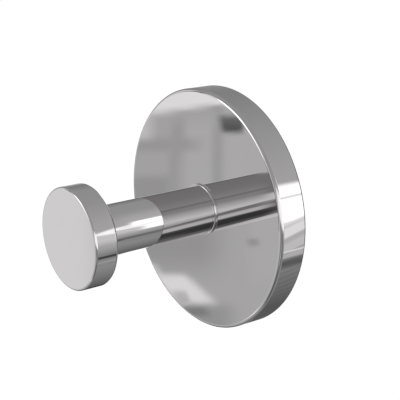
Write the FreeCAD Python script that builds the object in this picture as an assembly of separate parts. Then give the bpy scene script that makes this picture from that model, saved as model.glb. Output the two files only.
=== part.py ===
import FreeCAD, Part
import math
import os

# Round towel hook for a bathroom wall, fixed from behind. All lengths are in millimetres.
# Origin: the middle of the rose's back, on the wall plane. +Y points into the wall, +Z up.
# The post stands out of the wall along -Y, so a depth D in front of the wall lies at y = -D.

# Fits between turned pieces
FIT = 0.05  # gap all round a spigot or thread in its bore
TIP_GAP = 0.05  # from the grub screw's cone to the groove that it bears on
DRILL_POINT = math.radians(118.0)  # included angle at the bottom of a drilled bore

# Rose: the wall flange, a cup with its open side to the wall
ROSE_D = 55.0
ROSE_DEPTH = 7.0
ROSE_FACE_T = 2.2  # front wall
ROSE_RIM_T = 3.0  # rim wall
ROSE_FRONT_ROUND = 0.75
ROSE_BACK_CHAMFER = 0.3
ROSE_HOLLOW_CHAMFER = 0.6  # inside, between the front wall and the rim
ROSE_MOUTH_CHAMFER = 0.4  # at the open side, leads the bracket in

# Post: a turned bar with a narrow collar where it meets the rose
POST_D = 11.0
POST_L = 29.2  # clear length, from the rose's face to the back of the end cap
FOOT_LIP = 0.55  # how far the collar stands out round the post
FOOT_T = 0.45
FOOT_CHAMFER = 0.15
POST_SPIGOT_D = 7.0  # centres the post in the rose
POST_SPIGOT_SHORT = 0.3  # stops this far inside the front wall, so that the screw can clamp
POST_END_CHAMFER = 0.3

# End cap: the disc that keeps the towel on
CAP_D = 22.0
CAP_T = 5.4
CAP_FRONT_CHAMFER = 0.3
CAP_BACK_CHAMFER = 0.35
CAP_SEAT_DEPTH = 0.5  # recess that takes the end of the post
CAP_THREAD_D = 6.0
CAP_THREAD_L = 8.0
CAP_THREAD_CHAMFER = 0.6
CAP_RELIEF_CUT = 0.6  # depth of the thread undercut beside the cap
CAP_RELIEF_L = 1.2
CAP_BORE_SPARE = 1.0  # bore left beyond the end of the cap's thread

# Post screw: button head, through the rose into the foot of the post
SCREW_D = 5.0
SCREW_L = 12.0
SCREW_CHAMFER = 0.5
SCREW_HEAD_D = 9.5
SCREW_HEAD_H = 2.75
SCREW_HEAD_EDGE = 0.5  # straight side of the head below its dome
SCREW_CROWN_D = 5.4  # flat on top of the head, round the socket
SCREW_KEY = 3.0
SCREW_KEY_DEPTH = 1.6
SCREW_BORE_SPARE = 1.2

# Spring washer: a split ring, drawn flat as it is when tight
WASHER_D = 9.2
WASHER_T = 1.2
WASHER_SPLIT = 0.9
WASHER_SPLIT_SLANT = 20.0  # degrees from the washer's axis

# Wall bracket: a cast dish inside the rose, its flat side to the wall
BRACKET_FIT = 0.3  # gap to the inside of the rim
BRACKET_FRONT_GAP = 0.3  # gap to the inside of the front wall
BRACKET_RING_T = 3.8  # width of the outer ring
BRACKET_PLATE_T = 1.8
BRACKET_EDGE_CHAMFER = 0.4
BRACKET_EYE_GAP = 1.45  # round the head of the post screw, in the middle opening
BRACKET_COLLAR_T = 1.6
BRACKET_COLLAR_RISE = 1.4  # above the plate
GROOVE_DEPTH = 1.3  # V groove round the edge, its sides at 45 degrees
RIB_T = 1.6
RIB_RISE = 1.0  # above the plate
RIB_ANGLES = (45.0, 135.0, 225.0, 315.0)
SLOT_SPACING = 30.0  # between the centres of the two wall screws
SLOT_W = 4.6
SLOT_L = 8.6
SLOT_PAD_MARGIN = 1.7  # raised pad round each slot
SLOT_PAD_RISE = 0.6  # above the plate

# Grub screw: cone point, in the underside of the rim
GRUB_D = 3.0
GRUB_RECESS = 0.35  # below the outside of the rim
GRUB_CONE_FLAT_D = 0.4
GRUB_KEY = 1.5
GRUB_KEY_DEPTH = 1.2
GRUB_END_CHAMFER = 0.3
GRUB_HOLE_CHAMFER = 0.3

# Places along the axis, worked out from the sizes above
FACE_Y = -ROSE_DEPTH
HOLLOW_Y = -(ROSE_DEPTH - ROSE_FACE_T)
CAP_BACK_Y = FACE_Y - POST_L
CAP_FRONT_Y = CAP_BACK_Y - CAP_T
SEAT_Y = CAP_BACK_Y - CAP_SEAT_DEPTH
SPIGOT_END_Y = HOLLOW_Y - POST_SPIGOT_SHORT
UNDER_HEAD_Y = HOLLOW_Y + WASHER_T
BRACKET_T = -HOLLOW_Y - BRACKET_FRONT_GAP
GROOVE_Y = -BRACKET_T / 2

# Radii that two pieces share
ROSE_R = ROSE_D / 2
HOLLOW_R = ROSE_R - ROSE_RIM_T
POST_R = POST_D / 2
BRACKET_R = HOLLOW_R - BRACKET_FIT
BRACKET_INNER_R = BRACKET_R - BRACKET_RING_T
POST_FOOT_R = POST_R + FOOT_LIP
EYE_R = SCREW_HEAD_D / 2 + BRACKET_EYE_GAP
GRUB_TIP_R = BRACKET_R - GROOVE_DEPTH + GRUB_CONE_FLAT_D / 2 + TIP_GAP
GRUB_L = ROSE_R - GRUB_RECESS - GRUB_TIP_R

AXIS = FreeCAD.Vector(0, 1, 0)
CENTRE = FreeCAD.Vector(0, 0, 0)
DOWN = FreeCAD.Vector(0, 0, -1)


def line(start, end):
    """A straight edge."""
    return Part.LineSegment(start, end).toShape()


def arc(start, middle, end):
    """A round edge through three points."""
    return Part.Arc(start, middle, end).toShape()


def round_corner(before, corner, after, radius):
    """The rounding of a corner, as two arcs of this radius that meet in its middle and touch its sides."""
    to_before = (before - corner).normalize()
    to_after = (after - corner).normalize()
    half = to_before.getAngle(to_after) / 2
    inward = (to_before + to_after).normalize()
    centre = corner + inward * (radius / math.sin(half))
    start = corner + to_before * (radius / math.tan(half))
    middle = centre - inward * radius
    end = corner + to_after * (radius / math.tan(half))
    first_half = centre + (start + middle - centre * 2).normalize() * radius
    last_half = centre + (middle + end - centre * 2).normalize() * radius
    return [arc(start, first_half, middle), arc(middle, last_half, end)]


def outline(points):
    """A closed face in the XY half plane from (radius, y) or (radius, y, rounding) points."""
    corners = [FreeCAD.Vector(p[0], p[1], 0) for p in points]
    rounds = [p[2] if len(p) > 2 else 0 for p in points]
    arcs = []
    for i, corner in enumerate(corners):
        after = corners[(i + 1) % len(corners)]
        arcs.append(round_corner(corners[i - 1], corner, after, rounds[i]) if rounds[i] else [])
    edges = []
    for i, corner in enumerate(corners):
        following = (i + 1) % len(corners)
        start = arcs[i][-1].lastVertex().Point if arcs[i] else corner
        end = arcs[following][0].firstVertex().Point if arcs[following] else corners[following]
        edges += arcs[i]
        edges.append(line(start, end))
    return Part.Face(Part.Wire(edges))


def turned(points):
    """A solid turned about the Y axis from a profile of (radius, y) or (radius, y, rounding) points."""
    return outline(points).revolve(CENTRE, AXIS, 360)


def drilled(radius, mouth_y, bottom_y):
    """A cutter for a drilled bore: straight from mouth_y to bottom_y, with a drill point beyond."""
    way = math.copysign(1.0, bottom_y - mouth_y)
    point_y = bottom_y + way * radius / math.tan(DRILL_POINT / 2)
    return turned([(0, mouth_y), (radius, mouth_y), (radius, bottom_y), (0, point_y)])


def hex_key(across_flats, mouth_y, bottom_y):
    """A six-sided prism along Y, for a hexagon socket."""
    corner_r = across_flats / math.sqrt(3)
    corners = []
    for i in range(7):
        angle = math.radians(60 * i)
        corners.append(FreeCAD.Vector(corner_r * math.cos(angle), mouth_y, corner_r * math.sin(angle)))
    return Part.Face(Part.makePolygon(corners)).extrude(AXIS * (bottom_y - mouth_y))


def long_hole(centre_x, width, length, back_y, front_y):
    """A prism along Y with round ends, its long side along X."""
    radius = width / 2
    left = FreeCAD.Vector(centre_x + radius - length / 2, back_y, 0)
    right = FreeCAD.Vector(centre_x - radius + length / 2, back_y, 0)
    up = FreeCAD.Vector(0, 0, radius)
    out = FreeCAD.Vector(radius, 0, 0)
    edges = [
        line(left + up, right + up),
        arc(right + up, right + out, right - up),
        line(right - up, left - up),
        arc(left - up, left - out, left + up),
    ]
    return Part.Face(Part.Wire(edges)).extrude(AXIS * (front_y - back_y))


def rose():
    """Wall flange: a turned cup with the post's centring bore and the grub screw's hole."""
    bore_r = POST_SPIGOT_D / 2 + FIT
    cup = turned(
        [
            (bore_r, FACE_Y),
            (ROSE_R, FACE_Y, ROSE_FRONT_ROUND),
            (ROSE_R, -ROSE_BACK_CHAMFER),
            (ROSE_R - ROSE_BACK_CHAMFER, 0),
            (HOLLOW_R + ROSE_MOUTH_CHAMFER, 0),
            (HOLLOW_R, -ROSE_MOUTH_CHAMFER),
            (HOLLOW_R, HOLLOW_Y + ROSE_HOLLOW_CHAMFER),
            (HOLLOW_R - ROSE_HOLLOW_CHAMFER, HOLLOW_Y),
            (bore_r, HOLLOW_Y),
        ]
    )
    hole_r = GRUB_D / 2 + FIT
    start = FreeCAD.Vector(0, GROOVE_Y, -(HOLLOW_R - ROSE_MOUTH_CHAMFER))
    hole = Part.makeCylinder(hole_r, ROSE_R, start, DOWN)
    flare_start = FreeCAD.Vector(0, GROOVE_Y, -(ROSE_R - GRUB_HOLE_CHAMFER))
    flare_l = 2 * GRUB_HOLE_CHAMFER
    flare = Part.makeCone(hole_r, hole_r + flare_l, flare_l, flare_start, DOWN)
    return cup.cut(hole.fuse(flare))


def post():
    """Bar with a collar and a centring spigot at its foot, and a threaded bore in each end."""
    bar = turned(
        [
            (0, SPIGOT_END_Y),
            (POST_SPIGOT_D / 2, SPIGOT_END_Y),
            (POST_SPIGOT_D / 2, FACE_Y),
            (POST_FOOT_R, FACE_Y),
            (POST_FOOT_R, FACE_Y - FOOT_T + FOOT_CHAMFER),
            (POST_FOOT_R - FOOT_CHAMFER, FACE_Y - FOOT_T),
            (POST_R, FACE_Y - FOOT_T),
            (POST_R, SEAT_Y + POST_END_CHAMFER),
            (POST_R - POST_END_CHAMFER, SEAT_Y),
            (0, SEAT_Y),
        ]
    )
    screw_end_y = UNDER_HEAD_Y - SCREW_L
    foot_bore = drilled(SCREW_D / 2 + FIT, SPIGOT_END_Y, screw_end_y - SCREW_BORE_SPARE)
    cap_bore = drilled(CAP_THREAD_D / 2 + FIT, SEAT_Y, SEAT_Y + CAP_THREAD_L + CAP_BORE_SPARE)
    return bar.cut(foot_bore.fuse(cap_bore))


def end_cap():
    """Disc with a shallow seat for the post and a threaded spigot."""
    thread_r = CAP_THREAD_D / 2
    thread_end_y = SEAT_Y + CAP_THREAD_L
    return turned(
        [
            (0, CAP_FRONT_Y),
            (CAP_D / 2 - CAP_FRONT_CHAMFER, CAP_FRONT_Y),
            (CAP_D / 2, CAP_FRONT_Y + CAP_FRONT_CHAMFER),
            (CAP_D / 2, CAP_BACK_Y - CAP_BACK_CHAMFER),
            (CAP_D / 2 - CAP_BACK_CHAMFER, CAP_BACK_Y),
            (POST_R + FIT, CAP_BACK_Y),
            (POST_R + FIT, SEAT_Y),
            (thread_r - CAP_RELIEF_CUT, SEAT_Y),
            (thread_r - CAP_RELIEF_CUT, SEAT_Y + CAP_RELIEF_L),
            (thread_r, SEAT_Y + CAP_RELIEF_L),
            (thread_r, thread_end_y - CAP_THREAD_CHAMFER),
            (thread_r - CAP_THREAD_CHAMFER, thread_end_y),
            (0, thread_end_y),
        ]
    )


def dome(rim_r, crown_r, rim_y, crown_y):
    """The middle of an arc centred on the Y axis that runs from the rim of a domed head to its flat crown."""
    centre_y = (crown_r**2 + crown_y**2 - rim_r**2 - rim_y**2) / (2 * (crown_y - rim_y))
    sphere_r = math.hypot(rim_r, rim_y - centre_y)
    angle = (math.atan2(rim_r, rim_y - centre_y) + math.atan2(crown_r, crown_y - centre_y)) / 2
    return FreeCAD.Vector(sphere_r * math.sin(angle), centre_y + sphere_r * math.cos(angle), 0)


def post_screw():
    """Button head screw: its head towards the wall, its shank in the foot of the post."""
    head_r, crown_r, shank_r = SCREW_HEAD_D / 2, SCREW_CROWN_D / 2, SCREW_D / 2
    edge_y = UNDER_HEAD_Y + SCREW_HEAD_EDGE
    crown_y = UNDER_HEAD_Y + SCREW_HEAD_H
    end_y = UNDER_HEAD_Y - SCREW_L
    stops = [
        (crown_r, crown_y),
        (0, crown_y),
        (0, end_y),
        (shank_r - SCREW_CHAMFER, end_y),
        (shank_r, end_y + SCREW_CHAMFER),
        (shank_r, UNDER_HEAD_Y),
        (head_r, UNDER_HEAD_Y),
        (head_r, edge_y),
    ]
    points = [FreeCAD.Vector(r, y, 0) for r, y in stops]
    edges = [line(a, b) for a, b in zip(points, points[1:])]
    edges.append(arc(points[-1], dome(head_r, crown_r, edge_y, crown_y), points[0]))
    body = Part.Face(Part.Wire(edges)).revolve(CENTRE, AXIS, 360)
    return body.cut(hex_key(SCREW_KEY, crown_y, crown_y - SCREW_KEY_DEPTH))


def spring_washer():
    """Split ring between the screw's head and the inside of the rose."""
    bore_r, outer_r = SCREW_D / 2 + FIT, WASHER_D / 2
    ring = turned(
        [(bore_r, HOLLOW_Y), (outer_r, HOLLOW_Y), (outer_r, UNDER_HEAD_Y), (bore_r, UNDER_HEAD_Y)]
    )
    middle_y = (HOLLOW_Y + UNDER_HEAD_Y) / 2
    corner = FreeCAD.Vector(-WASHER_SPLIT / 2, middle_y - WASHER_D / 2, 0)
    split = Part.makeBox(WASHER_SPLIT, WASHER_D, WASHER_D, corner)
    split.rotate(FreeCAD.Vector(0, middle_y, 0), FreeCAD.Vector(0, 0, 1), WASHER_SPLIT_SLANT)
    return ring.cut(split)


def bracket_ring():
    """Outer ring of the bracket with the V groove round its edge, and the plate across it."""
    front_y = -BRACKET_T
    return turned(
        [
            (EYE_R, 0),
            (BRACKET_R - BRACKET_EDGE_CHAMFER, 0),
            (BRACKET_R, -BRACKET_EDGE_CHAMFER),
            (BRACKET_R, GROOVE_Y + GROOVE_DEPTH),
            (BRACKET_R - GROOVE_DEPTH, GROOVE_Y),
            (BRACKET_R, GROOVE_Y - GROOVE_DEPTH),
            (BRACKET_R, front_y + BRACKET_EDGE_CHAMFER),
            (BRACKET_R - BRACKET_EDGE_CHAMFER, front_y),
            (BRACKET_INNER_R, front_y),
            (BRACKET_INNER_R, -BRACKET_PLATE_T),
            (EYE_R, -BRACKET_PLATE_T),
        ]
    )


def bracket_collar():
    """Raised collar round the bracket's middle opening."""
    collar_r = EYE_R + BRACKET_COLLAR_T
    top_y = -BRACKET_PLATE_T - BRACKET_COLLAR_RISE
    return turned([(EYE_R, 0), (collar_r, 0), (collar_r, top_y), (EYE_R, top_y)])


def bracket_rib(angle):
    """Rib from the middle of the collar's wall to the middle of the ring, at an angle from +X."""
    start_r = EYE_R + BRACKET_COLLAR_T / 2
    length = BRACKET_INNER_R + (BRACKET_RING_T - GROOVE_DEPTH) / 2 - start_r
    height = BRACKET_PLATE_T + RIB_RISE
    rib = Part.makeBox(length, height, RIB_T, FreeCAD.Vector(start_r, -height, -RIB_T / 2))
    rib.rotate(CENTRE, AXIS, angle)
    return rib


def wall_bracket():
    """Cast dish with ring, collar, ribs and two padded slots for the wall screws."""
    slot_places = (-SLOT_SPACING / 2, SLOT_SPACING / 2)
    pad_w = SLOT_W + 2 * SLOT_PAD_MARGIN
    pad_l = SLOT_L + 2 * SLOT_PAD_MARGIN
    body = bracket_ring().fuse(bracket_collar())
    body = body.fuse([bracket_rib(angle) for angle in RIB_ANGLES])
    pad_top_y = -BRACKET_PLATE_T - SLOT_PAD_RISE
    pads = [long_hole(x, pad_w, pad_l, 0, pad_top_y) for x in slot_places]
    slots = [long_hole(x, SLOT_W, SLOT_L, 0, pad_top_y) for x in slot_places]
    eye = turned([(0, 0), (EYE_R, 0), (EYE_R, -BRACKET_T), (0, -BRACKET_T)])
    return body.fuse(pads).cut(slots + [eye]).removeSplitter()


def grub_screw():
    """Set screw, turned along Y at first and then stood in the rim with its cone in the groove."""
    shank_r = GRUB_D / 2
    flat_r = GRUB_CONE_FLAT_D / 2
    cone_l = shank_r - flat_r
    body = turned(
        [
            (0, 0),
            (flat_r, 0),
            (shank_r, cone_l),
            (shank_r, GRUB_L - GRUB_END_CHAMFER),
            (shank_r - GRUB_END_CHAMFER, GRUB_L),
            (0, GRUB_L),
        ]
    )
    body = body.cut(hex_key(GRUB_KEY, GRUB_L, GRUB_L - GRUB_KEY_DEPTH))
    body.rotate(CENTRE, FreeCAD.Vector(1, 0, 0), -90)
    body.translate(FreeCAD.Vector(0, GROOVE_Y, -GRUB_TIP_R))
    return body


PIECES = {
    "end_cap": end_cap,
    "post": post,
    "rose": rose,
    "post_screw": post_screw,
    "spring_washer": spring_washer,
    "wall_bracket": wall_bracket,
    "grub_screw": grub_screw,
}


def main():
    os.makedirs("parts", exist_ok=True)
    for name, make in PIECES.items():
        shape = make()
        if not shape.isValid() or len(shape.Solids) != 1:
            raise ValueError(f"{name} is not one valid solid")
        shape.Solids[0].exportStep(f"parts/{name}.step")
        print(name, round(shape.Volume, 2))


main()
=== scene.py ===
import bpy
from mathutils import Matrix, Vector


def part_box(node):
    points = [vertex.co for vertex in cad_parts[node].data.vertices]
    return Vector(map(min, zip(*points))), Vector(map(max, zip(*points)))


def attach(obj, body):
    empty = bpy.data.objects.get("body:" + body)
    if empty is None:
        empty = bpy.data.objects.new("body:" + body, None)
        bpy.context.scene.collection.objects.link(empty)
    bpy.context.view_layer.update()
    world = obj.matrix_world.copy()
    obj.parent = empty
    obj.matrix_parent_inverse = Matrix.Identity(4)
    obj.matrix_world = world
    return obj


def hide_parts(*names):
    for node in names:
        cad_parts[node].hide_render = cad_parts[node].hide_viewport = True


bl_info = {
    "name": "Towel hook",
    "version": (1, 0, 0),
    "blender": (4, 5, 0),
    "location": "3D View > Sidebar > Towel hook",
    "description": "Chromed surfaces, fixing parts and studio for a round wall towel hook",
    "category": "Add Mesh",
}

import math
from collections import namedtuple

import bmesh
import bpy
import numpy as np
from bpy.props import FloatProperty, FloatVectorProperty, IntProperty, PointerProperty
from mathutils import Vector

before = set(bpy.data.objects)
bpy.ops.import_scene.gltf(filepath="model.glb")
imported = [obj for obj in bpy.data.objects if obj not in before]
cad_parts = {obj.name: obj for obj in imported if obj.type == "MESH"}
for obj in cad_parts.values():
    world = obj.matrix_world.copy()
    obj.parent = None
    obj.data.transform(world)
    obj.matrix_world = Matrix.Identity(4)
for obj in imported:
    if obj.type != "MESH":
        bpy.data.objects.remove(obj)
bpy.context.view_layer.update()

# The frame is in metres: the rose's back lies on the wall plane y = 0, and the post stands out along -Y.
MM = 0.001
MERGE = 0.0005 * MM  # points nearer than this are one point
SUPPORT = 0.02 * MM  # from a rounding's end to the row of points that keeps the flat beside it flat
SHARP = math.radians(35.0)  # a fold steeper than this shades as an edge
HOLE_FLARE = 0.3 * MM  # slope round the mouth of the grub screw's hole
DRILL_ANGLE = 118.0  # degrees, at the bottom of a drilled bore
THREAD_DEPTH = 0.6134  # of a screw thread, for each unit of its pitch
THREAD_ROOT, THREAD_CREST = 0.25, 0.125  # shares of the height that are cut off
THREAD_ROWS = 12  # rows of faces for each turn of a thread
SCREW_STEPS = 96  # columns round the post screw; a hexagon's corners need a multiple of 6
GRUB_STEPS = 72
DOME_ROWS = 14  # rows of points down the dome of the post screw's head
PATCH_SHARE = 40  # the patch round the grub screw's hole reaches a 40th of a turn to each side
WALL_ROWS, PATCH_ROWS, BORE_ROWS = 8, 5, 4  # rows of faces along the wall, round the hole and down its bore
FOOT_BORE_SPARE = 1.2 * MM  # of the post's bore past the end of the screw in it
CAP_BORE_SPARE = 1.0 * MM  # and past the cap's thread
GRUB_TIP_R = 0.2 * MM  # of the flat on the grub screw's point
CAD_MERGE = 0.001 * MM  # points of the frame's bracket nearer than this are one point
FLAT = math.radians(1.0)  # faces of the bracket that turn less than this are one face
CAST_STEPS = 3  # rows of faces across a rounding of the bracket


# Properties


def length(name, description, millimetres):
    """A length, its default given in millimetres."""
    return FloatProperty(
        name=name,
        description=description,
        default=millimetres * MM,
        min=0.0,
        soft_max=100 * MM,
        precision=5,
        subtype="DISTANCE",
        unit="LENGTH",
    )


def number(name, description, default, least, most):
    """A plain number between two limits."""
    return FloatProperty(name=name, description=description, default=default, min=least, max=most)


def amount(name, description, default, least, most):
    """A whole number."""
    return IntProperty(name=name, description=description, default=default, min=least, max=most)


def angle(name, description, degrees):
    """An angle, its default given in degrees."""
    return FloatProperty(
        name=name, description=description, default=math.radians(degrees), subtype="ANGLE", unit="ROTATION"
    )


def share(name, description, default):
    """A number from 0 to 1."""
    return FloatProperty(
        name=name, description=description, default=default, min=0.0, max=1.0, subtype="FACTOR"
    )


def tint(name, description, default):
    """A linear colour."""
    return FloatVectorProperty(
        name=name, description=description, default=default, size=3, min=0.0, max=1.0, subtype="COLOR"
    )


class HookSizes(bpy.types.PropertyGroup):
    """Sizes of the turned pieces that the frame's boxes don't give."""

    turn_steps: amount("Turn steps", "Columns of faces round a turned piece", 240, 48, 480)
    round_steps: amount("Rounding steps", "Rows of faces across a rounded edge", 10, 2, 24)
    rose_front_round: length("Rose front rounding", "Rounding of the rose's front edge", 0.75)
    rose_back_round: length("Rose back rounding", "Rounding of the rose's edge at the wall", 0.45)
    rose_face_wall: length("Rose front wall", "Thickness of the rose's front", 2.2)
    rose_rim_wall: length("Rose rim wall", "Thickness of the rose's rim", 3.0)
    rose_hollow_edge: length("Rose inner corner", "Slope between the rose's front wall and rim, inside", 0.6)
    rose_mouth_edge: length("Rose mouth edge", "Slope that leads the bracket into the rose", 0.4)
    rose_bore: length("Rose bore", "Width of the hole for the post's spigot", 7.1)
    post_width: length("Post width", "Width of the bar", 11.0)
    foot_depth: length("Collar depth", "Depth of the collar at the foot of the post", 0.45)
    foot_round: length("Collar rounding", "Rounding of the collar's edge", 0.3)
    post_end_edge: length("Post end edge", "Slope at the end in the cap", 0.3)
    spigot_width: length("Spigot width", "Width of the post's spigot in the rose", 7.0)
    cap_depth: length("Cap depth", "Depth of the end cap's disc", 5.4)
    cap_front_round: length("Cap front rounding", "Rounding of the cap's front edge", 0.45)
    cap_back_round: length("Cap back rounding", "Rounding of the cap's back edge", 0.55)
    cap_seat: length("Cap seat", "Depth of the recess that takes the post", 0.5)
    cap_thread: length("Cap thread", "Width of the cap's thread", 6.0)
    cap_relief: length("Cap thread relief", "Plain neck between the seat and the thread", 1.2)
    cap_pitch: length("Cap thread pitch", "Travel of the cap's thread in one turn", 1.0)
    screw_thread: length("Screw thread", "Width of the post screw's thread", 5.0)
    screw_pitch: length("Screw pitch", "Travel of the post screw's thread in one turn", 0.8)
    screw_head_edge: length("Screw head edge", "Straight side of the head below its dome", 0.5)
    screw_crown: length("Screw crown", "Width of the flat on top of the head", 5.4)
    screw_head_depth: length("Screw head depth", "Height of the head", 2.75)
    screw_key: length("Screw key", "Width across the flats of the socket", 3.0)
    screw_key_depth: length("Screw key depth", "Depth of the socket", 1.6)
    grub_pitch: length("Grub screw pitch", "Travel of the grub screw's thread in one turn", 0.5)
    grub_key: length("Grub screw key", "Width across the flats of the socket", 1.5)
    grub_key_depth: length("Grub screw key depth", "Depth of the socket", 1.2)
    fit: length("Fit", "Gap all round a spigot or thread in its bore", 0.05)
    cast_round: length("Casting rounding", "Rounding of the bracket's edges", 0.22)


class HookFinishes(bpy.types.PropertyGroup):
    """Colours and surface of each finish."""

    chrome: tint("Chrome", "Colour that the plating reflects", (0.574, 0.562, 0.567))
    chrome_rough: share("Chrome roughness", "Roughness of clean plating", 0.018)
    chrome_haze: share("Chrome haze", "Roughness added where the plating was wiped", 0.015)
    steel: tint("Stainless steel", "Colour of the screws and the washer", (0.50, 0.49, 0.475))
    steel_rough: share("Steel roughness", "Roughness of the turned steel", 0.28)
    zinc: tint("Cast zinc", "Colour of the cast bracket", (0.44, 0.45, 0.465))
    zinc_rough: share("Zinc roughness", "Roughness of the casting's skin", 0.46)


class HookStudio(bpy.types.PropertyGroup):
    """Camera, floor and light."""

    camera_place: FloatVectorProperty(
        name="Camera place",
        description="Place of the camera",
        default=(0.180146, -0.145081, 0.069396),
        size=3,
        precision=5,
        subtype="TRANSLATION",
        unit="LENGTH",
    )
    camera_turn: angle("Camera turn", "Direction it looks from, round the hook; 0 looks along +Y", 52.5561)
    camera_rise: angle("Camera rise", "Height angle that the camera looks from", 16.4656)
    lens: number("Lens", "Focal length on a 36 mm sensor", 94.286, 10.0, 300.0)
    floor_drop: length("Floor drop", "Depth of the floor below the middle of the rose", 260.0)
    floor_glow: share("Floor glow", "Share of the floor's white that is its own", 0.93)
    soft_light: number("Soft light", "Strength of the light from all round", 0.8, 0.0, 2.0)
    lamp_power: number("Lamp power", "Power of the soft lamp in watts", 6.0, 0.0, 100.0)


# Surfaces


def unit(vector):
    """The vector divided by its length."""
    return vector / np.linalg.norm(vector)


def corner_arc(before, corner, after, radius, steps):
    """Arc of this radius that touches both sides of a corner.

    Its centre lies on the line that halves the corner, radius / sin(half the corner's angle) away, and its
    arm turns evenly from one touching point to the other.
    """
    to_before, to_after = unit(before - corner), unit(after - corner)
    half = math.acos(float(np.clip(to_before @ to_after, -1, 1))) / 2
    centre = corner + unit(to_before + to_after) * radius / math.sin(half)
    first = corner + to_before * radius / math.tan(half) - centre
    last = corner + to_after * radius / math.tan(half) - centre
    sweep = math.pi - 2 * half
    t = np.linspace(0, 1, steps + 1)[:, None]
    return centre + (np.sin((1 - t) * sweep) * first + np.sin(t * sweep) * last) / math.sin(sweep)


def outline(corners, steps):
    """Profile rows (radius, place along Y), one array for each corner.

    A corner given with a rounding becomes its arc, with a support row on the straight sides next to it.
    """
    at = np.array([corner[:2] for corner in corners], float)
    stops = []
    for i, corner in enumerate(corners):
        rounding = corner[2] if len(corner) > 2 else 0.0
        if not rounding:
            stops.append(at[i : i + 1])
            continue
        before, after = at[i - 1], at[(i + 1) % len(corners)]
        arc = corner_arc(before, at[i], after, rounding, steps)
        lead = arc[0] + unit(before - at[i]) * SUPPORT
        tail = arc[-1] + unit(after - at[i]) * SUPPORT
        stops.append(np.vstack((lead, arc, tail)))
    return stops


def full_turn(steps):
    """Turns of the columns round a piece, the last the same place as the first."""
    return np.linspace(0, 2 * math.pi, steps + 1)


def swept(radius, along, turns):
    """Surface round the Y axis, x = radius cos(turn) and z = radius sin(turn), from rows and columns."""
    shape = (len(along), len(turns))
    radius = np.broadcast_to(radius, shape)
    along = np.broadcast_to(along, shape)
    return np.stack((radius * np.cos(turns), along, radius * np.sin(turns)), -1)


def turned(rows, turns):
    """Surface swept round the Y axis by profile rows (radius, place along Y)."""
    return swept(rows[:, :1], rows[:, 1:], turns)


def hexagon(across, turns):
    """Distance from the middle of a hexagon to its side, at turns measured from a corner."""
    side = math.pi / 3
    return across / 2 / np.cos(np.mod(turns, side) - side / 2)


def thread_rows(width, pitch, start, end, turns):
    """Rows (radius of each column, place) of a screw thread between two places along Y.

    The crest climbs one pitch each turn. Across the pitch the height is a triangle with an eighth cut off its
    crest and a quarter off its root. Both ends run out down a slope of 45 degrees to the core.
    """
    core = width / 2 - THREAD_DEPTH * pitch
    rows = int(round(abs(end - start) / pitch * THREAD_ROWS)) + 1
    along = np.linspace(start, end, rows)[:, None]
    wave = np.abs(2 * np.mod(along / pitch - turns / (2 * math.pi), 1.0) - 1)
    height = np.clip((wave - THREAD_ROOT) / (1 - THREAD_ROOT - THREAD_CREST), 0, 1) * (width / 2 - core)
    run_out = np.minimum(np.abs(along - start), np.abs(end - along))
    return core + np.minimum(height, run_out), np.broadcast_to(along, height.shape)


def band_with_hole(radius, start, end, hole_y, hole_r, steps):
    """Cylinder wall with a round hole in its underside, as sheets, and the ways of the points round the hole.

    Away from the hole the wall is a plain grid. Round it a patch is drawn flat, as width along the wall and
    place along Y. Each point of the patch's square edge is joined to the point of the hole's edge that lies
    the same way from the hole's middle, with rows spaced evenly between them, and the drawing is rolled onto
    the cylinder.
    """
    step, wide, rows = 2 * math.pi / steps, steps // PATCH_SHARE, WALL_ROWS
    bottom = 3 * steps // 4
    along = np.linspace(start, end, rows + 1)
    turns = np.arange(bottom + wide, bottom - wide + steps + 1) * step
    wall = swept(radius, along[:, None], turns)
    across = np.arange(-wide, wide + 1) * step * radius
    sides = ((across, start), (across[-1], along[1:-1]), (across[::-1], end), (across[0], along[-2::-1]))
    square = np.concatenate([np.stack(np.broadcast_arrays(*side), -1) for side in sides])
    way = np.unwrap(np.arctan2(square[:, 1] - hole_y, square[:, 0]))
    circle_x = radius * np.arcsin(hole_r * np.cos(way) / radius)
    circle = np.stack((circle_x, hole_y + hole_r * np.sin(way)), -1)
    blend = np.linspace(0, 1, PATCH_ROWS + 1)[:, None, None]
    flat = circle + (square - circle) * blend
    roll = flat[..., 0] / radius
    patch = np.stack((radius * np.sin(roll), flat[..., 1], -radius * np.cos(roll)), -1)
    return [wall, patch], way


def hole_wall(outer_r, inner_r, hole_y, hole_r, flare, outer_way, inner_way):
    """Wall of a hole along Z between two cylinders about Y: a flare at the outer one, then a bore."""
    t = np.linspace(0, 1, BORE_ROWS + 1)[:, None]
    way = outer_way + (inner_way - outer_way) * t
    x, y = hole_r * np.cos(way), hole_y + hole_r * np.sin(way)
    deep = (outer_r - flare) * (1 - t) + np.sqrt(inner_r**2 - x**2) * t
    mouth_x, mouth_y = (hole_r + flare) * np.cos(outer_way), hole_y + (hole_r + flare) * np.sin(outer_way)
    mouth = np.stack((mouth_x, mouth_y, -np.sqrt(outer_r**2 - mouth_x**2)), -1)
    return np.concatenate((mouth[None], np.stack((x, y, -deep), -1)))


def with_rows(*rows):
    """Rows stacked into one array, a row of one number spread over all columns."""
    columns = max(np.shape(row)[1] for row in rows)
    return np.vstack([np.broadcast_to(row, (len(row), columns)) for row in rows])


def make_piece(name, sheets, node, material):
    """A closed smooth piece, in place of a frame node, from sheets of points that meet edge to edge."""
    points = np.concatenate([sheet.reshape(-1, 3) for sheet in sheets])
    faces, first = [], 0
    for sheet in sheets:
        rows, columns = sheet.shape[:2]
        faces.append(grid_faces(rows, columns, first))
        first += rows * columns
    mesh = grid_mesh(name, points, np.concatenate(faces))
    close_and_smooth(mesh)
    return dress(name, mesh, node, material)


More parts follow.
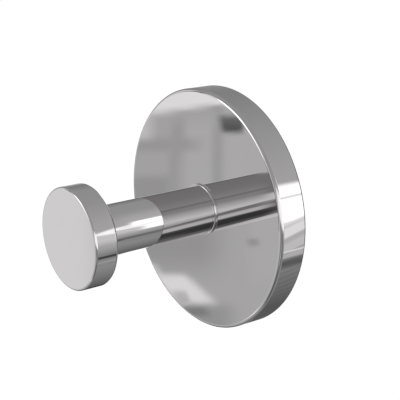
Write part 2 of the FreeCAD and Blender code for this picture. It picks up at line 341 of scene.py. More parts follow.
def grid_faces(rows, columns, first=0):
    """Four-sided faces between rows and columns of points, the number of the first point given."""
    index = np.arange(rows * columns).reshape(rows, columns) + first
    return np.stack((index[:-1, :-1], index[:-1, 1:], index[1:, 1:], index[1:, :-1]), -1).reshape(-1, 4)


def grid_mesh(name, points, faces):
    """Mesh of four-sided faces from whole arrays."""
    mesh = bpy.data.meshes.new(name)
    mesh.vertices.add(len(points))
    mesh.vertices.foreach_set("co", np.ascontiguousarray(points, np.float32).ravel())
    mesh.loops.add(faces.size)
    mesh.loops.foreach_set("vertex_index", np.ascontiguousarray(faces, np.int32).ravel())
    mesh.polygons.add(len(faces))
    mesh.polygons.foreach_set("loop_start", np.arange(0, faces.size, 4, dtype=np.int32))
    mesh.update(calc_edges=True)
    return mesh


def close_and_smooth(mesh):
    """Merges seams and poles, turns all faces outwards and shades them smooth up to the sharp folds."""
    work = bmesh.new()
    work.from_mesh(mesh)
    bmesh.ops.remove_doubles(work, verts=work.verts, dist=MERGE)
    bmesh.ops.recalc_face_normals(work, faces=work.faces)
    open_edges = sum(1 for edge in work.edges if len(edge.link_faces) != 2)
    work.to_mesh(mesh)
    work.free()
    if open_edges:
        raise RuntimeError(f"{mesh.name} has {open_edges} open edges")
    mesh.shade_smooth()
    mesh.set_sharp_from_angle(angle=SHARP)


def add_object(name, data):
    """A new object in the scene."""
    thing = bpy.data.objects.new(name, data)
    bpy.context.scene.collection.objects.link(thing)
    return thing


def dress(name, mesh, node, material):
    """Puts a mesh into the scene in the place of a frame node, with its finish."""
    mesh.name = name
    mesh.materials.clear()
    mesh.materials.append(material)
    piece = add_object(name, mesh)
    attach(piece, "root")
    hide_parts(node)
    return piece


# Finishes


def empty_nodes(owner):
    """The cleared nodes of a material or world, and the call that links two of them."""
    owner.use_nodes = True
    owner.node_tree.nodes.clear()
    return owner.node_tree.nodes, owner.node_tree.links.new


def new_metal(name):
    """Material, nodes, link call, shader and Object coordinates of a metal; only the first if it exists."""
    material = bpy.data.materials.get(name)
    if material:
        return material, None, None, None, None
    material = bpy.data.materials.new(name)
    nodes, link = empty_nodes(material)
    output = nodes.new("ShaderNodeOutputMaterial")
    shader = nodes.new("ShaderNodeBsdfPrincipled")
    shader.inputs["Metallic"].default_value = 1.0
    link(shader.outputs["BSDF"], output.inputs["Surface"])
    return material, nodes, link, shader, nodes.new("ShaderNodeTexCoord").outputs["Object"]


def mapped(material, place, turn, scale):
    """Coordinates turned and scaled, so that marks run across the finish in one direction."""
    node = material.node_tree.nodes.new("ShaderNodeMapping")
    node.inputs["Rotation"].default_value = turn
    node.inputs["Scale"].default_value = scale
    material.node_tree.links.new(place, node.inputs["Vector"])
    return node.outputs["Vector"]


def noise(material, vector, scale, detail):
    """Noise whose marks are about 1 / scale metres across."""
    node = material.node_tree.nodes.new("ShaderNodeTexNoise")
    node.inputs["Scale"].default_value = scale
    node.inputs["Detail"].default_value = detail
    material.node_tree.links.new(vector, node.inputs["Vector"])
    return node.outputs["Fac"]


def spread(material, value, low, high, out_low, out_high):
    """Maps low..high of a value to out_low..out_high, without going beyond."""
    node = material.node_tree.nodes.new("ShaderNodeMapRange")
    for socket, setting in zip(node.inputs[1:5], (low, high, out_low, out_high)):
        socket.default_value = setting
    material.node_tree.links.new(value, node.inputs["Value"])
    return node.outputs["Result"]


def ramp(material, value, low_colour, high_colour):
    """Mixes two colours by a value."""
    node = material.node_tree.nodes.new("ShaderNodeMix")
    node.data_type = "RGBA"
    node.inputs[6].default_value = (*low_colour, 1)
    node.inputs[7].default_value = (*high_colour, 1)
    material.node_tree.links.new(value, node.inputs[0])
    return node.outputs[2]


def relief(material, height, depth, below=None):
    """Bump of a given depth in metres, over another."""
    node = material.node_tree.nodes.new("ShaderNodeBump")
    node.inputs["Distance"].default_value = depth
    material.node_tree.links.new(height, node.inputs["Height"])
    if below:
        material.node_tree.links.new(below, node.inputs["Normal"])
    return node.outputs["Normal"]


def varied(material, value, colour, darkest, lightest):
    """A colour that a value makes darker or lighter, between two multiples of it."""
    ends = [[min(1.0, channel * factor) for channel in colour] for factor in (darkest, lightest)]
    return ramp(material, value, *ends)


def polished_chrome(finishes):
    """Chromium over polished brass: a mirror with a faint wave, wiped haze and fine hairlines."""
    material, nodes, link, shader, place = new_metal("chrome_plating")
    if not nodes:
        return material
    cloud = noise(material, place, scale=140.0, detail=3.0)
    colour = varied(material, cloud, finishes.chrome, darkest=0.985, lightest=1.015)
    link(colour, shader.inputs["Base Color"])
    wiped = mapped(material, place, turn=(0.3, 0.5, 0.9), scale=(1.0, 0.25, 1.6))
    marks = noise(material, wiped, scale=110.0, detail=4.0)
    clean, dull = finishes.chrome_rough, finishes.chrome_rough + finishes.chrome_haze
    haze = spread(material, marks, low=0.45, high=0.8, out_low=clean, out_high=dull)
    link(haze, shader.inputs["Roughness"])
    wave = relief(material, noise(material, place, scale=120.0, detail=1.0), depth=0.0025 * MM)
    hairs = mapped(material, place, turn=(0.0, 0.4, 0.2), scale=(1.0, 1.0, 30.0))
    fine = relief(material, noise(material, hairs, scale=500.0, detail=2.0), depth=0.00004 * MM, below=wave)
    link(fine, shader.inputs["Normal"])
    return material


def turned_steel(finishes):
    """Stainless steel as it comes off the lathe: rings round the axis, satin, a little duller in patches."""
    material, nodes, link, shader, place = new_metal("lathe_steel")
    if not nodes:
        return material
    patches = noise(material, place, scale=700.0, detail=3.0)
    colour = varied(material, patches, finishes.steel, darkest=0.86, lightest=1.1)
    link(colour, shader.inputs["Base Color"])
    bright, dull = finishes.steel_rough - 0.06, finishes.steel_rough + 0.12
    satin = spread(material, patches, low=0.3, high=0.75, out_low=bright, out_high=dull)
    link(satin, shader.inputs["Roughness"])
    rings = nodes.new("ShaderNodeTexWave")
    rings.wave_type = "RINGS"
    rings.rings_direction = "Y"
    rings.inputs["Scale"].default_value = 2200.0
    rings.inputs["Distortion"].default_value = 1.5
    rings.inputs["Detail"].default_value = 2.0
    link(place, rings.inputs["Vector"])
    link(relief(material, rings.outputs["Fac"], depth=0.003 * MM), shader.inputs["Normal"])
    return material


def cast_zinc(finishes):
    """Zinc die casting: dull grey skin with a fine grain, flow marks and small pits."""
    material, nodes, link, shader, place = new_metal("zinc_casting")
    if not nodes:
        return material
    flow = noise(material, place, scale=160.0, detail=5.0)
    colour = varied(material, flow, finishes.zinc, darkest=0.72, lightest=1.2)
    link(colour, shader.inputs["Base Color"])
    grain = noise(material, place, scale=2600.0, detail=3.0)
    bright, dull = finishes.zinc_rough - 0.08, finishes.zinc_rough + 0.14
    skin = spread(material, grain, low=0.3, high=0.7, out_low=bright, out_high=dull)
    link(skin, shader.inputs["Roughness"])
    pits = nodes.new("ShaderNodeTexVoronoi")
    pits.inputs["Scale"].default_value = 1500.0
    link(place, pits.inputs["Vector"])
    dips = spread(material, pits.outputs["Distance"], low=0.0, high=0.25, out_low=0.0, out_high=1.0)
    pitted = relief(material, dips, depth=0.012 * MM)
    link(relief(material, grain, depth=0.02 * MM, below=pitted), shader.inputs["Normal"])
    return material


# Operators that make the hook's pieces


class TOWELHOOK_OT_rose(bpy.types.Operator):
    """Make the chromed rose: a turned cup with the post's bore and the grub screw's hole"""

    bl_idname = "towel_hook.rose"
    bl_label = "Make the rose"
    bl_options = {"REGISTER", "UNDO"}

    def execute(self, context):
        sizes = context.scene.towel_hook_sizes
        low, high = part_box("rose")
        grub_low, grub_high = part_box("grub_screw")
        rose_r, face = high.x, low.y
        inner_r, inner_face = rose_r - sizes.rose_rim_wall, face + sizes.rose_face_wall
        bore_r = sizes.rose_bore / 2
        stops = outline(
            [
                (bore_r, inner_face),
                (bore_r, face),
                (rose_r, face, sizes.rose_front_round),
                (rose_r, 0.0, sizes.rose_back_round),
                (inner_r + sizes.rose_mouth_edge, 0.0),
                (inner_r, -sizes.rose_mouth_edge),
                (inner_r, inner_face + sizes.rose_hollow_edge),
                (inner_r - sizes.rose_hollow_edge, inner_face),
            ],
            sizes.round_steps,
        )
        turns = full_turn(sizes.turn_steps)
        front = turned(np.vstack(stops[:3]), turns)
        back = turned(np.vstack(stops[3:6]), turns)
        inside = turned(np.vstack((*stops[6:], stops[0])), turns)
        hole_y = (grub_low.y + grub_high.y) / 2
        hole_r = (grub_high.x - grub_low.x) / 2 + sizes.fit
        steps, mouth_r = sizes.turn_steps, hole_r + HOLE_FLARE
        rim, rim_way = band_with_hole(rose_r, stops[2][-1][1], stops[3][0][1], hole_y, mouth_r, steps)
        wall, wall_way = band_with_hole(inner_r, stops[6][0][1], stops[5][-1][1], hole_y, hole_r, steps)
        bore = hole_wall(rose_r, inner_r, hole_y, hole_r, HOLE_FLARE, rim_way, wall_way)
        chrome = polished_chrome(context.scene.towel_hook_finishes)
        sheets = [front, back, inside, *rim, *wall, bore]
        make_piece("rose_chromed", sheets, "rose", chrome)
        return {"FINISHED"}


class TOWELHOOK_OT_post(bpy.types.Operator):
    """Make the chromed post: a turned bar with a collar and a spigot at its foot, bored from both ends"""

    bl_idname = "towel_hook.post"
    bl_label = "Make the post"
    bl_options = {"REGISTER", "UNDO"}

    def execute(self, context):
        sizes = context.scene.towel_hook_sizes
        low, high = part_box("post")
        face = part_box("rose")[0].y
        foot_bore = sizes.screw_thread / 2 + sizes.fit
        cap_bore = sizes.cap_thread / 2 + sizes.fit
        foot_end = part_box("post_screw")[0].y - FOOT_BORE_SPARE
        cap_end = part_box("end_cap")[1].y + CAP_BORE_SPARE
        slope = math.tan(math.radians(90 - DRILL_ANGLE / 2))
        stops = outline(
            [
                (0.0, foot_end - foot_bore * slope),
                (foot_bore, foot_end),
                (foot_bore, high.y),
                (sizes.spigot_width / 2, high.y),
                (sizes.spigot_width / 2, face),
                (high.x, face),
                (high.x, face - sizes.foot_depth, sizes.foot_round),
                (sizes.post_width / 2, face - sizes.foot_depth),
                (sizes.post_width / 2, low.y + sizes.post_end_edge),
                (sizes.post_width / 2 - sizes.post_end_edge, low.y),
                (cap_bore, low.y),
                (cap_bore, cap_end),
                (0.0, cap_end + cap_bore * slope),
            ],
            sizes.round_steps,
        )
        chrome = polished_chrome(context.scene.towel_hook_finishes)
        sheet = turned(np.vstack(stops), full_turn(sizes.turn_steps))
        make_piece("post_chromed", [sheet], "post", chrome)
        return {"FINISHED"}


class TOWELHOOK_OT_end_cap(bpy.types.Operator):
    """Make the chromed end cap: a disc with a seat for the post and a threaded spigot"""

    bl_idname = "towel_hook.end_cap"
    bl_label = "Make the end cap"
    bl_options = {"REGISTER", "UNDO"}

    def execute(self, context):
        sizes = context.scene.towel_hook_sizes
        low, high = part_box("end_cap")
        back = low.y + sizes.cap_depth
        seat = back - sizes.cap_seat
        seat_r = sizes.post_width / 2 + sizes.fit
        stops = outline(
            [
                (0.0, low.y),
                (high.x, low.y, sizes.cap_front_round),
                (high.x, back, sizes.cap_back_round),
                (seat_r, back),
                (seat_r, seat),
            ],
            sizes.round_steps,
        )
        turns = full_turn(sizes.turn_steps)
        disc = np.vstack(stops)
        radius, along = thread_rows(sizes.cap_thread, sizes.cap_pitch, seat + sizes.cap_relief, high.y, turns)
        radius = with_rows(disc[:, :1], radius[:1], radius, [[0.0]])
        along = with_rows(disc[:, 1:], [[seat]], along, [[high.y]])
        chrome = polished_chrome(context.scene.towel_hook_finishes)
        make_piece("end_cap_chromed", [swept(radius, along, turns)], "end_cap", chrome)
        return {"FINISHED"}


class TOWELHOOK_OT_post_screw(bpy.types.Operator):
    """Make the button head screw that holds the post to the rose, with its thread and hexagon socket"""

    bl_idname = "towel_hook.post_screw"
    bl_label = "Make the post screw"
    bl_options = {"REGISTER", "UNDO"}

    def execute(self, context):
        sizes = context.scene.towel_hook_sizes
        low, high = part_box("post_screw")
        head_r, crown_r = high.x, sizes.screw_crown / 2
        under_head = high.y - sizes.screw_head_depth
        edge = under_head + sizes.screw_head_edge
        turns = full_turn(SCREW_STEPS)
        key = hexagon(sizes.screw_key, turns)
        floor = high.y - sizes.screw_key_depth
        # The dome is a ball centred on the axis, through the crown's edge and the head's edge.
        middle = (crown_r**2 + high.y**2 - head_r**2 - edge**2) / (2 * (high.y - edge))
        crown_tilt = math.atan2(crown_r, high.y - middle)
        tilt = np.linspace(crown_tilt, math.atan2(head_r, edge - middle), DOME_ROWS)[:, None]
        ball_r = math.hypot(head_r, edge - middle)
        radius, along = thread_rows(sizes.screw_thread, sizes.screw_pitch, under_head, low.y, turns)
        dome_r, dome_y = ball_r * np.sin(tilt), middle + ball_r * np.cos(tilt)
        radius = with_rows([[0.0]], key[None], key[None], dome_r, [[head_r]], radius, [[0.0]])
        along = with_rows([[floor], [floor], [high.y]], dome_y, [[under_head]], along, [[low.y]])
        steel = turned_steel(context.scene.towel_hook_finishes)
        make_piece("post_screw_turned", [swept(radius, along, turns)], "post_screw", steel)
        return {"FINISHED"}


class TOWELHOOK_OT_spring_washer(bpy.types.Operator):
    """Finish the split washer under the screw's head; its shape is the frame's"""

    bl_idname = "towel_hook.spring_washer"
    bl_label = "Finish the spring washer"
    bl_options = {"REGISTER", "UNDO"}

    def execute(self, context):
        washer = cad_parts["spring_washer"]
        steel = turned_steel(context.scene.towel_hook_finishes)
        for place in washer.material_slots:
            place.material = steel
        return {"FINISHED"}


class TOWELHOOK_OT_wall_bracket(bpy.types.Operator):
    """Make the cast wall bracket: the frame's shape with the rounded edges of a casting"""

    bl_idname = "towel_hook.wall_bracket"
    bl_label = "Make the wall bracket"
    bl_options = {"REGISTER", "UNDO"}

    def execute(self, context):
        sizes = context.scene.towel_hook_sizes
        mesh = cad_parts["wall_bracket"].data.copy()
        work = bmesh.new()
        work.from_mesh(mesh)
        bmesh.ops.remove_doubles(work, verts=work.verts, dist=CAD_MERGE)
        bmesh.ops.dissolve_limit(work, angle_limit=FLAT, verts=work.verts, edges=work.edges)
        folds = [e for e in work.edges if len(e.link_faces) == 2 and e.calc_face_angle(0.0) > SHARP]
        bmesh.ops.bevel(
            work,
            geom=folds,
            offset=sizes.cast_round,
            offset_type="OFFSET",
            segments=CAST_STEPS,
            profile=0.5,
            affect="EDGES",
            clamp_overlap=True,
        )
        work.to_mesh(mesh)
        work.free()
        mesh.shade_smooth()
        mesh.set_sharp_from_angle(angle=SHARP)
        zinc = cast_zinc(context.scene.towel_hook_finishes)
        bracket = dress("wall_bracket_cast", mesh, "wall_bracket", zinc)
        # Lets the large faces set the normals, so that they shade flat right up to the roundings.
        flats = bracket.modifiers.new("flat faces stay flat", "WEIGHTED_NORMAL")
        flats.keep_sharp = True
        return {"FINISHED"}


class TOWELHOOK_OT_grub_screw(bpy.types.Operator):
    """Make the cone point grub screw in the underside of the rose's rim"""

    bl_idname = "towel_hook.grub_screw"
    bl_label = "Make the grub screw"
    bl_options = {"REGISTER", "UNDO"}

    def execute(self, context):
        sizes = context.scene.towel_hook_sizes
        low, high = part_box("grub_screw")
        width, end = high.x - low.x, high.z - low.z
        turns = full_turn(GRUB_STEPS)
        core = width / 2 - THREAD_DEPTH * sizes.grub_pitch
        key = hexagon(sizes.grub_key, turns)
        floor = end - sizes.grub_key_depth
        radius, along = thread_rows(width, sizes.grub_pitch, core - GRUB_TIP_R, end, turns)
        radius = with_rows([[0.0], [GRUB_TIP_R]], radius, key[None], key[None], [[0.0]])
        along = with_rows([[0.0], [0.0]], along, [[end], [floor], [floor]])
        upright = swept(radius, along, turns)
        middle_y = (low.y + high.y) / 2
        placed = np.stack((upright[..., 0], middle_y + upright[..., 2], high.z - upright[..., 1]), -1)
        steel = turned_steel(context.scene.towel_hook_finishes)
        make_piece("grub_screw_turned", [placed], "grub_screw", steel)
        return {"FINISHED"}


# The studio

ROOM_R = 10.0  # metres; so far off that the hook's own size doesn't shift what it mirrors
FLOOR_HALF = 6.0  # metres from the floor's middle to its sides
FLOOR_WHITE = 1.04  # strength of the floor's own light; over 1 makes up for the paper's shade
PAPER_DARKEST, PAPER_LIGHTEST = (0.86, 0.86, 0.86), (0.88, 0.88, 0.88)
LAMP_SIDE, LAMP_PLACE = 0.8, (0.5, -0.7, 0.9)  # metres
SENSOR, CLIP_NEAR, CLIP_FAR = 36.0, 0.01, 50.0  # millimetres, metres, metres

# The room that the chrome mirrors, as seen from the hook. Turn is the angle in degrees round the Y axis, from
# +X (right) through 90 (up). Tilt is the angle from +Y, so tilts over 90 lie in front of the wall plane. A
# glow of 1 is the white of the background. The walls run evenly from stop to stop, each a glow at a turn.
# First the far end behind the wall plane.
WALLS_FAR_BACK = ((-180, 0.2), (-120, 0.06), (30, 0.06), (60, 0.28), (180, 0.28))
# At the tilts that the rose's rim mirrors: lightest on the right, darkest below on the left.
WALLS_BY_RIM = (
    (-180, 0.35), (-150, 0.3), (-140, 0.12), (-105, 0.14), (-65, 0.28), (-45, 0.42), (-20, 0.5),
    (30, 0.62), (90, 0.48), (150, 0.33), (180, 0.35),
)
# At those of the post and the cap, also lightest on the right and darkest below on the left.
WALLS_BY_POST = (
    (-180, 0.17), (-120, 0.16), (-60, 0.42), (-30, 0.37), (-15, 0.6), (30, 0.62), (90, 0.48),
    (135, 0.45), (180, 0.17),
)
BACK_TILT, RIM_TILT, POST_TILT = 45.5, 52.0, 58.0
BACK_FADE, FRONT_FADE = 3.0, 30.0  # over which the walls change, at BACK_TILT and at the wall plane
# The ring in front of the wall plane that the post mirrors by way of the rose's face.
WALLS_BEFORE = (
    (-180, 0.22), (-165, 0.2), (-150, 0.7), (-125, 0.72), (-100, 0.24), (-65, 0.08), (-30, 0.6),
    (-5, 1.5), (35, 0.6), (60, 0.6), (90, 0.49), (150, 0.42), (180, 0.24),
)
BEFORE_TILTS, BEFORE_FADE = (121.8, 129.5), 1.2
# The fine light and dark lines that the lower half of the rims mirrors: the turns that they lie between at
# the tilt STREAK_TILT and the fade at each, how far a degree of tilt shifts them, the tilt that they end at
# and its fade, their pitch, how many times closer the second set is, and how far each changes the glow.
STREAK_TURNS, STREAK_FADES, STREAK_TILT, STREAK_LEAN = (-125.0, -46.0), (20.0, 12.0), 50.0, 2.5
STREAK_END, STREAK_END_FADE = 68.0, 3.0
STREAK_PITCH, STREAK_CLOSER, STREAK_DEPTH = 5.6, 1.7, 0.08
# The front of the room, where nothing else hangs.
FRONT_GLOW = 0.46

# Then the cards hung in the room, one over another. Each has its glow, its left side and its right side, a
# pair where they differ between its first and its last row, then those two rows, and the widths over which
# its sides and its ends fade out.
Card = namedtuple("Card", "glow left right rows soft_sides soft_ends")
# Across is the turn, the rows are tilts.
ROUND_CARDS = {
    "window": Card(2, (-9.5, -8), (24.8, 31), (46, 58), 6, 0.8),
    "window glow": Card((0.92, 0.95), (-8.5, -3), 18, (57.8, 62), 18, 0.8),
    "window toe": Card((1.8, 1.6), (6.5, 14.5), (31.5, 17.5), (57.4, 60.7), 4.5, 0.5),
    "window edge": Card((1.9, 1.5), (-13, -9), (20, 16), (63, 112), 7, 0.8),
    "window haze": Card(0.68, 25, 60, (54.5, 59.2), 50, 1.5),
    "window side": Card((0.74, 0.7), 30, 42, (55, 58.6), 12, 1),
    "window on the post": Card(2, (10, 17), (32.2, 34.6), (53.9, 58.4), 4.5, 0.5),
    "window bar": Card(1.2, (13.5, 14.5), (15.5, 16.5), (46, 57.5), 1.6, 1),
    "low card": Card(1.22, (-11.2, -35.2), (0.5, -20), (47.3, 53.3), 2.2, 1.5),
    "low card fold": Card((1.15, 0.8), (-3.7, -24.2), (-1.3, -21.8), (47.3, 53.3), 1.2, 1.5),
    "low strip": Card(0.72, (-16.5, -40.5), (-11.8, -35.8), (47.3, 53.3), 1.5, 1.5),
    "low board": Card(0.86, (-25, -49), (-16, -40), (47.3, 53.3), 1.5, 1.5),
    "low board edge": Card(0.72, -44, (-26, -50), (47.3, 53.3), 1.5, 1.5),
    "low line": Card(1.15, -37.9, -36.5, (47.3, 53.3), 1.2, 1.5),
    "low gap": Card(0.165, -54, -45.3, (47.3, 53.3), 8, 1.5),
    "dark bar": Card((0.29, 0.22), -37.5, -27.5, (54, 59.5), 1.5, 0.6),
    "dark bar foot": Card(0.1, -39, -33, (59.3, 62.5), 2, 0.5),
    "light strip": Card(0.5, -50.5, -44.5, (59.3, 62.5), 2, 0.5),
    "left card by rim": Card(0.8, 187, 200, (46, 54.5), 8, 1),
    "left card by cap": Card(0.7, 178, 205, (59.4, 66), 40, 0.5),
    "left low card": Card(1.25, -165, (-120, -144), (53.8, 59.2), 17, 0.4),
    "under card": Card((0.03, 0.06), -168, (-133, -118), (59.4, 95), 10, 0.5),
    "post top light": Card(1.05, -176.5, -170.5, (122.5, 128), 3, 1),
    "notch": Card(0.44, (40, 52), (50, 60), (118, 132), 4, 2),
    "dark strip": Card((0.35, 0.46), (-30.5, -23.5), (-27, -5.5), (123, 129.5), 4, 2),
    "lap card": Card(1.2, (-54, -43.5), (-37, -26), (122, 129.5), 5, 2),
    "left dark": Card(0.28, (-119, -103), -92, (121, 126), 14, 2),
    "low dark": Card(0.09, (-92, -74), (-58, -47), (124.5, 129.5), 10, 2),
    "left wall": Card((0.62, 1.45), -152, (-126, -88), (123, 131), 8, 2),
}
# Across is the azimuth from straight ahead and the rows are heights, both in degrees. First the large forms
# of the front room, which the rounded edges mirror.
FRONT_CARDS = {
    "front left wall": Card((0.45, 1.1), (-90, -80), (5, -10), (-68, 20), 40, 12),
    "front far left": Card((0.12, 0.42), -200, -105, (-90, 40), 40, 20),
    "front floor": Card((0.15, 0.28), (15, 22), 140, (-80, -9), 25, 8),
    "front window": Card((1.5, 1.7), (5, 50), 140, (-7, 22), 25, 7),
}
# Then the part that the flat faces mirror, and the light that the rose's upper front edge mirrors.
FACE_CARDS = {
    "front light": Card(2.8, (-45, -43), (-34, -24), (-8.5, 24), 4, 3),
    "left board": Card(1.03, -66, -58.2, (-27, -8), 2.4, 2),
    "lower room": Card((0.67, 0.61), -57, -44, (-27, -11.2), 1, 0.9),
    "right panel": Card(0.69, -51.2, -47.5, (-17, -11), 0.6, 1.5),
    "light panel": Card(0.68, -53.3, -51.8, (-17, -12), 0.5, 1.5),
    "left shade": Card(0.5, -57, -54, (-17, -15.1), 1.2, 0.6),
    "rail": Card(0.53, -57, -52.7, (-13.7, -13), 1.6, 0.6),
    "post shade": Card((0.55, 0.54), (-54.5, -54.05), (-54, -53.45), (-16.5, -12), 0.45, 1.5),
    "panel shade": Card(0.56, -51.8, -51.25, (-16.5, -12.2), 0.4, 1.5),
    "dim card": Card(0.5, -57, -51.5, (-20.3, -17), 2.5, 2.5),
    "lit card": Card(0.68, -49.6, -45.5, (-21, -16), 1.5, 2),
    "low shade": Card(0.5, -53.4, -50.6, (-24.5, -22.3), 1.8, 0.8),
    "upper light": Card(1.24, -60, -44, (-11.16, -5), 1, 0.3),
    "upper light, middle": Card(1.2, -60, -52.4, (-11.4, -8), 2.6, 0.35),
    "upper light, left": Card(1.2, -60, -54.4, (-11.65, -8), 2.6, 0.45),
    "corner light": Card(0.86, -59, -55.3, (-13, -11.4), 1, 0.6),
    "dark box": Card((0.11, 0.26), (-51.25, -51.45), (-50.1, -49.9), (-12.66, -11.72), 0.35, 0.4),
    "small mark": Card(0.45, -49.7, -49.1, (-18.95, -18.6), 0.45, 0.3),
    "lamp": Card(1.15, (-53.9, -55.4), (-51.6, -53.4), (-22.2, -20.6), 0.9, 0.5),
    "lamp top": Card(1, -57.5, (-54.7, -55.2), (-20.8, -20), 0.9, 0.5),
    "lamp heart": Card((0.72, 0.8), (-54, -54.2), (-53, -53.4), (-22.2, -21.5), 0.4, 0.3),
    "lamp shade": Card((0.33, 0.36), -53.6, (-51.9, -52.2), (-22.9, -22.4), 0.5, 0.4),
}


def smooth_step(value):
    """0 below 0, 1 above 1, and 3v^2 - 2v^3 between."""
    value = np.clip(value, 0, 1)
    return value * value * (3 - 2 * value)


def faded(inside, soft):
    """1 well inside an edge, 0 well outside it and smooth over the soft width between."""
    return smooth_step(inside / soft + 0.5)


def hang(glow, across, up, card):
    """Lays a card over the glow."""
    t = np.clip((up - card.rows[0]) / (card.rows[1] - card.rows[0]), 0, 1)
    ends = (np.broadcast_to(value, 2) for value in (card.glow, card.left, card.right))
    own, left, right = (first + (last - first) * t for first, last in ends)
    off = np.mod(across - (left + right) / 2 + 180, 360) - 180
    half = (right - left) / 2
    cover = faded(half + off, card.soft_sides) * faded(half - off, card.soft_sides)
    cover = cover * faded(up - card.rows[0], card.soft_ends) * faded(card.rows[1] - up, card.soft_ends)
    return glow + (own - glow) * cover


def hang_all(glow, across, up, cards):
    """Lays cards over the glow, one over another."""
    for card in cards.values():
        glow = hang(glow, across, up, card)
    return glow


def streaked(glow, turn, tilt):
    """The glow with the fine lines laid over it; a second, closer set keeps them from looking regular."""
    across = turn + STREAK_LEAN * (tilt - STREAK_TILT)
    first, last = STREAK_TURNS
    inside = faded(across - first, STREAK_FADES[0]) * faded(last - across, STREAK_FADES[1])
    inside = inside * faded(STREAK_END - tilt, STREAK_END_FADE)
    wave = 2 * np.pi * across / STREAK_PITCH
    return glow * (1 + STREAK_DEPTH * inside * (np.sin(wave) + np.sin(STREAK_CLOSER * wave)))


def room_glow(turn, tilt, way):
    """The glow of the room in each direction, given as turn and tilt and as a unit vector."""
    azimuth = np.degrees(np.arctan2(way[..., 0], -way[..., 1]))
    height = np.degrees(np.arcsin(np.clip(way[..., 2], -1, 1)))
    far, by_rim, by_post = (
        np.interp(turn, *zip(*walls)) for walls in (WALLS_FAR_BACK, WALLS_BY_RIM, WALLS_BY_POST)
    )
    glow = far + (by_rim - far) * faded(tilt - BACK_TILT, BACK_FADE)
    glow = glow + (by_post - glow) * smooth_step((tilt - RIM_TILT) / (POST_TILT - RIM_TILT))
    front = hang_all(np.full_like(glow, FRONT_GLOW), azimuth, height, FRONT_CARDS)
    glow = glow + (front - glow) * faded(tilt - 90, FRONT_FADE)
    before = np.interp(turn, *zip(*WALLS_BEFORE))
    cover = faded(tilt - BEFORE_TILTS[0], BEFORE_FADE) * faded(BEFORE_TILTS[1] - tilt, BEFORE_FADE)
    glow = glow + (before - glow) * cover
    glow = streaked(hang_all(glow, turn, tilt, ROUND_CARDS), turn, tilt)
    return hang_all(glow, azimuth, height, FACE_CARDS)


def steps_between(*stops):
    """Places from stop to stop; each stop after the first comes with the size of its steps."""
    places = [np.array([float(stops[0])])]
    for end, step in stops[1:]:
        start = places[-1][-1]
        places.append(np.linspace(start, end, int(round((end - start) / step)) + 1)[1:])
    return np.concatenate(places)


def room_light():
    """Material that glows as its points say."""
    material = bpy.data.materials.new("room_light")
    nodes, link = empty_nodes(material)
    seen = nodes.new("ShaderNodeAttribute")
    seen.attribute_name = "glow"
    light = nodes.new("ShaderNodeEmission")
    link(seen.outputs["Fac"], light.inputs["Strength"])
    link(light.outputs["Emission"], nodes.new("ShaderNodeOutputMaterial").inputs["Surface"])
    material.cycles.emission_sampling = "NONE"
    return material


def room_half(name, turn, tilt, material):
    """Half a globe round the hook, seen only in mirrors, whose points carry the room's glow."""
    across, up = np.meshgrid(turn, tilt)
    way = swept(np.sin(np.radians(tilt))[:, None], np.cos(np.radians(tilt))[:, None], np.radians(turn))
    # The other way round, so that they face the hook.
    faces = grid_faces(*across.shape)[:, [0, 3, 2, 1]]
    mesh = grid_mesh(name, (way * ROOM_R).reshape(-1, 3), faces)
    glow = mesh.attributes.new("glow", "FLOAT", "POINT")
    glow.data.foreach_set("value", room_glow(across, up, way).astype(np.float32).ravel())
    mesh.materials.append(material)
    half = add_object(name, mesh)
    for kind in ("camera", "diffuse", "transmission", "volume_scatter", "shadow"):
        setattr(half, "visible_" + kind, False)


# Each half's stops in turn and in tilt; every stop after the first comes with the size of the steps up to it.
ROOM_GRIDS = (
    ("room_behind", (-180, (-60, 0.75), (34, 0.3), (180, 1.2)), (0, (45, 3.0), (62, 0.25), (90, 1.5))),
    (
        "room_before",
        (-180, (-172, 1.0), (-145, 0.25), (-54, 0.75), (34, 0.4), (180, 1.2)),
        (90, (114, 2.0), (132, 0.22), (180, 2.0)),
    ),
)


def room():
    """The room, its points closest where the chrome mirrors it largest."""
    material = room_light()
    for name, turns, tilts in ROOM_GRIDS:
        room_half(name, steps_between(*turns), steps_between(*tilts), material)


def seen_directly(nodes, link):
    """1 for camera, mirror and glass rays, otherwise 0."""
    path = nodes.new("ShaderNodeLightPath")
    seen = path.outputs["Is Camera Ray"]
    for kind in ("Is Glossy Ray", "Is Transmission Ray"):
        either = nodes.new("ShaderNodeMath")
        either.operation = "MAXIMUM"
        link(seen, either.inputs[0])
        link(path.outputs[kind], either.inputs[1])
        seen = either.outputs[0]
    return seen


def white_background(studio):
    """World that is white behind the hook and lights it softly from all round."""
    world = bpy.data.worlds.new("studio_room")
    nodes, link = empty_nodes(world)
    strength = nodes.new("ShaderNodeMapRange")
    strength.inputs["To Min"].default_value = studio.soft_light
    link(seen_directly(nodes, link), strength.inputs["Value"])
    light = nodes.new("ShaderNodeBackground")
    light.inputs["Color"].default_value = (1, 1, 1, 1)
    link(strength.outputs["Result"], light.inputs["Strength"])
    link(light.outputs["Background"], nodes.new("ShaderNodeOutputWorld").inputs["Surface"])
    bpy.context.scene.world = world


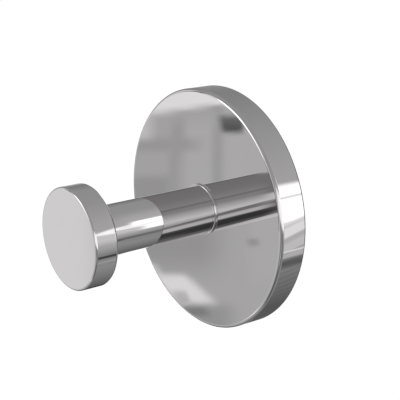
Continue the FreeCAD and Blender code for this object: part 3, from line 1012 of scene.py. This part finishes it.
def pale_floor(studio):
    """Pale floor well below the hook, part of its white its own, so that a soft shadow stays on it."""
    material = bpy.data.materials.new("floor_paper")
    nodes, link = empty_nodes(material)
    share_of_own = nodes.new("ShaderNodeMath")
    share_of_own.operation = "MULTIPLY"
    share_of_own.inputs[1].default_value = studio.floor_glow
    link(seen_directly(nodes, link), share_of_own.inputs[0])
    paper = nodes.new("ShaderNodeBsdfDiffuse")
    grain = noise(material, nodes.new("ShaderNodeTexCoord").outputs["Object"], scale=40.0, detail=3.0)
    link(ramp(material, grain, PAPER_DARKEST, PAPER_LIGHTEST), paper.inputs["Color"])
    own = nodes.new("ShaderNodeEmission")
    own.inputs["Strength"].default_value = FLOOR_WHITE
    mix = nodes.new("ShaderNodeMixShader")
    link(share_of_own.outputs[0], mix.inputs[0])
    link(paper.outputs["BSDF"], mix.inputs[1])
    link(own.outputs["Emission"], mix.inputs[2])
    link(mix.outputs["Shader"], nodes.new("ShaderNodeOutputMaterial").inputs["Surface"])
    half, low = FLOOR_HALF, -studio.floor_drop
    points = np.array([(-half, -half, low), (half, -half, low), (half, half, low), (-half, half, low)])
    mesh = grid_mesh("floor", points, np.array([[0, 1, 2, 3]]))
    mesh.materials.append(material)
    floor = add_object("floor", mesh)
    floor.visible_glossy = False


def soft_lamp(studio):
    """Large square lamp above the front right."""
    data = bpy.data.lights.new("soft_lamp", "AREA")
    data.shape, data.size, data.energy = "SQUARE", LAMP_SIDE, studio.lamp_power
    lamp = add_object("soft_lamp", data)
    lamp.location = LAMP_PLACE
    lamp.rotation_euler = Vector(lamp.location).to_track_quat("Z", "Y").to_euler()
    lamp.visible_glossy = False


def aim_camera(studio):
    """Camera at its place, looking along its turn and rise."""
    data = bpy.data.cameras.new("camera")
    data.lens, data.sensor_width = studio.lens, SENSOR
    data.clip_start, data.clip_end = CLIP_NEAR, CLIP_FAR
    camera = add_object("camera", data)
    turn, rise = studio.camera_turn, studio.camera_rise
    back = Vector((math.sin(turn) * math.cos(rise), -math.cos(turn) * math.cos(rise), math.sin(rise)))
    camera.location = studio.camera_place
    camera.rotation_euler = back.to_track_quat("Z", "Y").to_euler()
    bpy.context.scene.camera = camera


class TOWELHOOK_OT_studio(bpy.types.Operator):
    """Set up the camera, the pale floor, the soft lamp and the room that the chrome mirrors"""

    bl_idname = "towel_hook.studio"
    bl_label = "Set up the studio"
    bl_options = {"REGISTER", "UNDO"}

    def execute(self, context):
        studio = context.scene.towel_hook_studio
        context.scene.view_settings.view_transform = "Standard"
        white_background(studio)
        pale_floor(studio)
        soft_lamp(studio)
        room()
        aim_camera(studio)
        return {"FINISHED"}


# Panel and registration


class TOWELHOOK_PT_hook(bpy.types.Panel):
    """The hook's pieces, sizes, finishes and studio"""

    bl_label = "Towel hook"
    bl_space_type = "VIEW_3D"
    bl_region_type = "UI"
    bl_category = "Towel hook"

    def draw(self, context):
        for operator in OPERATORS:
            self.layout.operator(operator.bl_idname)
        for name, group in GROUPS.items():
            column = self.layout.column(align=True)
            for value in group.__annotations__:
                column.prop(getattr(context.scene, name), value)


OPERATORS = (
    TOWELHOOK_OT_rose,
    TOWELHOOK_OT_post,
    TOWELHOOK_OT_end_cap,
    TOWELHOOK_OT_post_screw,
    TOWELHOOK_OT_spring_washer,
    TOWELHOOK_OT_wall_bracket,
    TOWELHOOK_OT_grub_screw,
    TOWELHOOK_OT_studio,
)
GROUPS = {"towel_hook_sizes": HookSizes, "towel_hook_finishes": HookFinishes, "towel_hook_studio": HookStudio}
CLASSES = (*GROUPS.values(), *OPERATORS, TOWELHOOK_PT_hook)


def register():
    for cls in CLASSES:
        bpy.utils.register_class(cls)
    for name, group in GROUPS.items():
        setattr(bpy.types.Scene, name, PointerProperty(type=group))


def unregister():
    for name in GROUPS:
        delattr(bpy.types.Scene, name)
    for cls in reversed(CLASSES):
        bpy.utils.unregister_class(cls)


def main():
    """Builds the hook and its studio."""
    register()
    bpy.ops.towel_hook.rose()
    bpy.ops.towel_hook.post()
    bpy.ops.towel_hook.end_cap()
    bpy.ops.towel_hook.post_screw()
    bpy.ops.towel_hook.spring_washer()
    bpy.ops.towel_hook.wall_bracket()
    bpy.ops.towel_hook.grub_screw()
    bpy.ops.towel_hook.studio()


if __name__ == "__main__":
    main()
